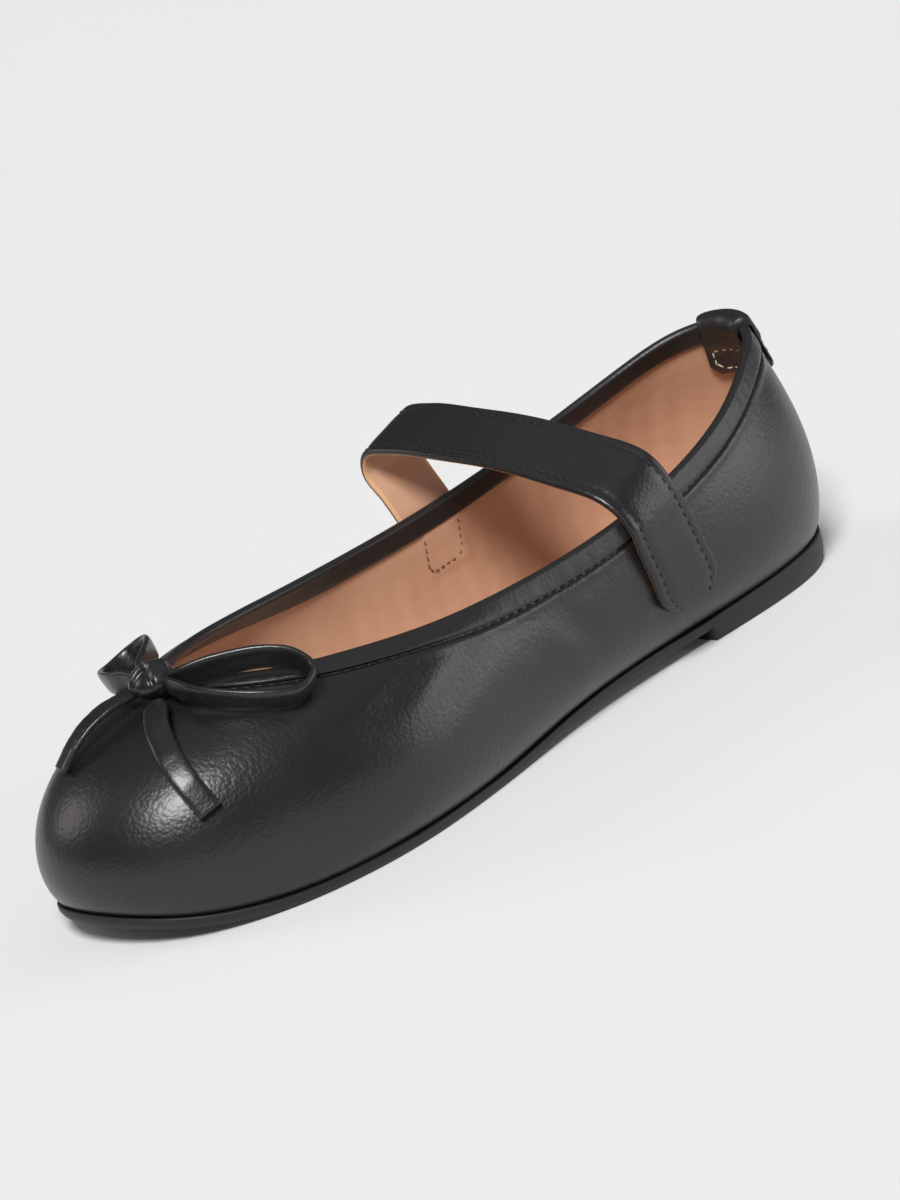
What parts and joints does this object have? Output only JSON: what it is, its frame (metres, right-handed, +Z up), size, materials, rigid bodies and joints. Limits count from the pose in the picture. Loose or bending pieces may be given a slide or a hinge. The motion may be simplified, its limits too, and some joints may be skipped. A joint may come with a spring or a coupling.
{
  "type": "ballet flat with instep strap",
  "caption": "Round-toed flat slip-on shoe with a hollow upper, thin moulded sole, instep strap and ribbon bow at the throat.",
  "frame": {"origin": "on the floor, at the middle of the heel's flat underside", "axes": "+Z up, the toe points to -Y and the heel to +Y, +X is the outer side of the left foot"},
  "size_m": [0.0875, 0.2491, 0.069],
  "materials": {
    "sole_rubber": "matt black moulded rubber",
    "black_leather": "black smooth leather with a fine grain and a satin coat",
    "tan_sock": "light tan smooth lining leather, matt",
    "black_binding": "black folded leather binding, satin",
    "black_ribbon": "black folded leather ribbon, satin"
  },
  "bodies": {
    "root": {"outsole": "sole_rubber", "upper": "black_leather", "insole": "tan_sock", "topline_binding": "black_binding", "heel_tab": "black_binding", "instep_strap": "black_leather", "bow_knot": "black_ribbon", "bow_loop_outer": "black_ribbon", "bow_loop_inner": "black_ribbon", "bow_tail_outer": "black_ribbon", "bow_tail_inner": "black_ribbon"}
  },
  "joints": []
}
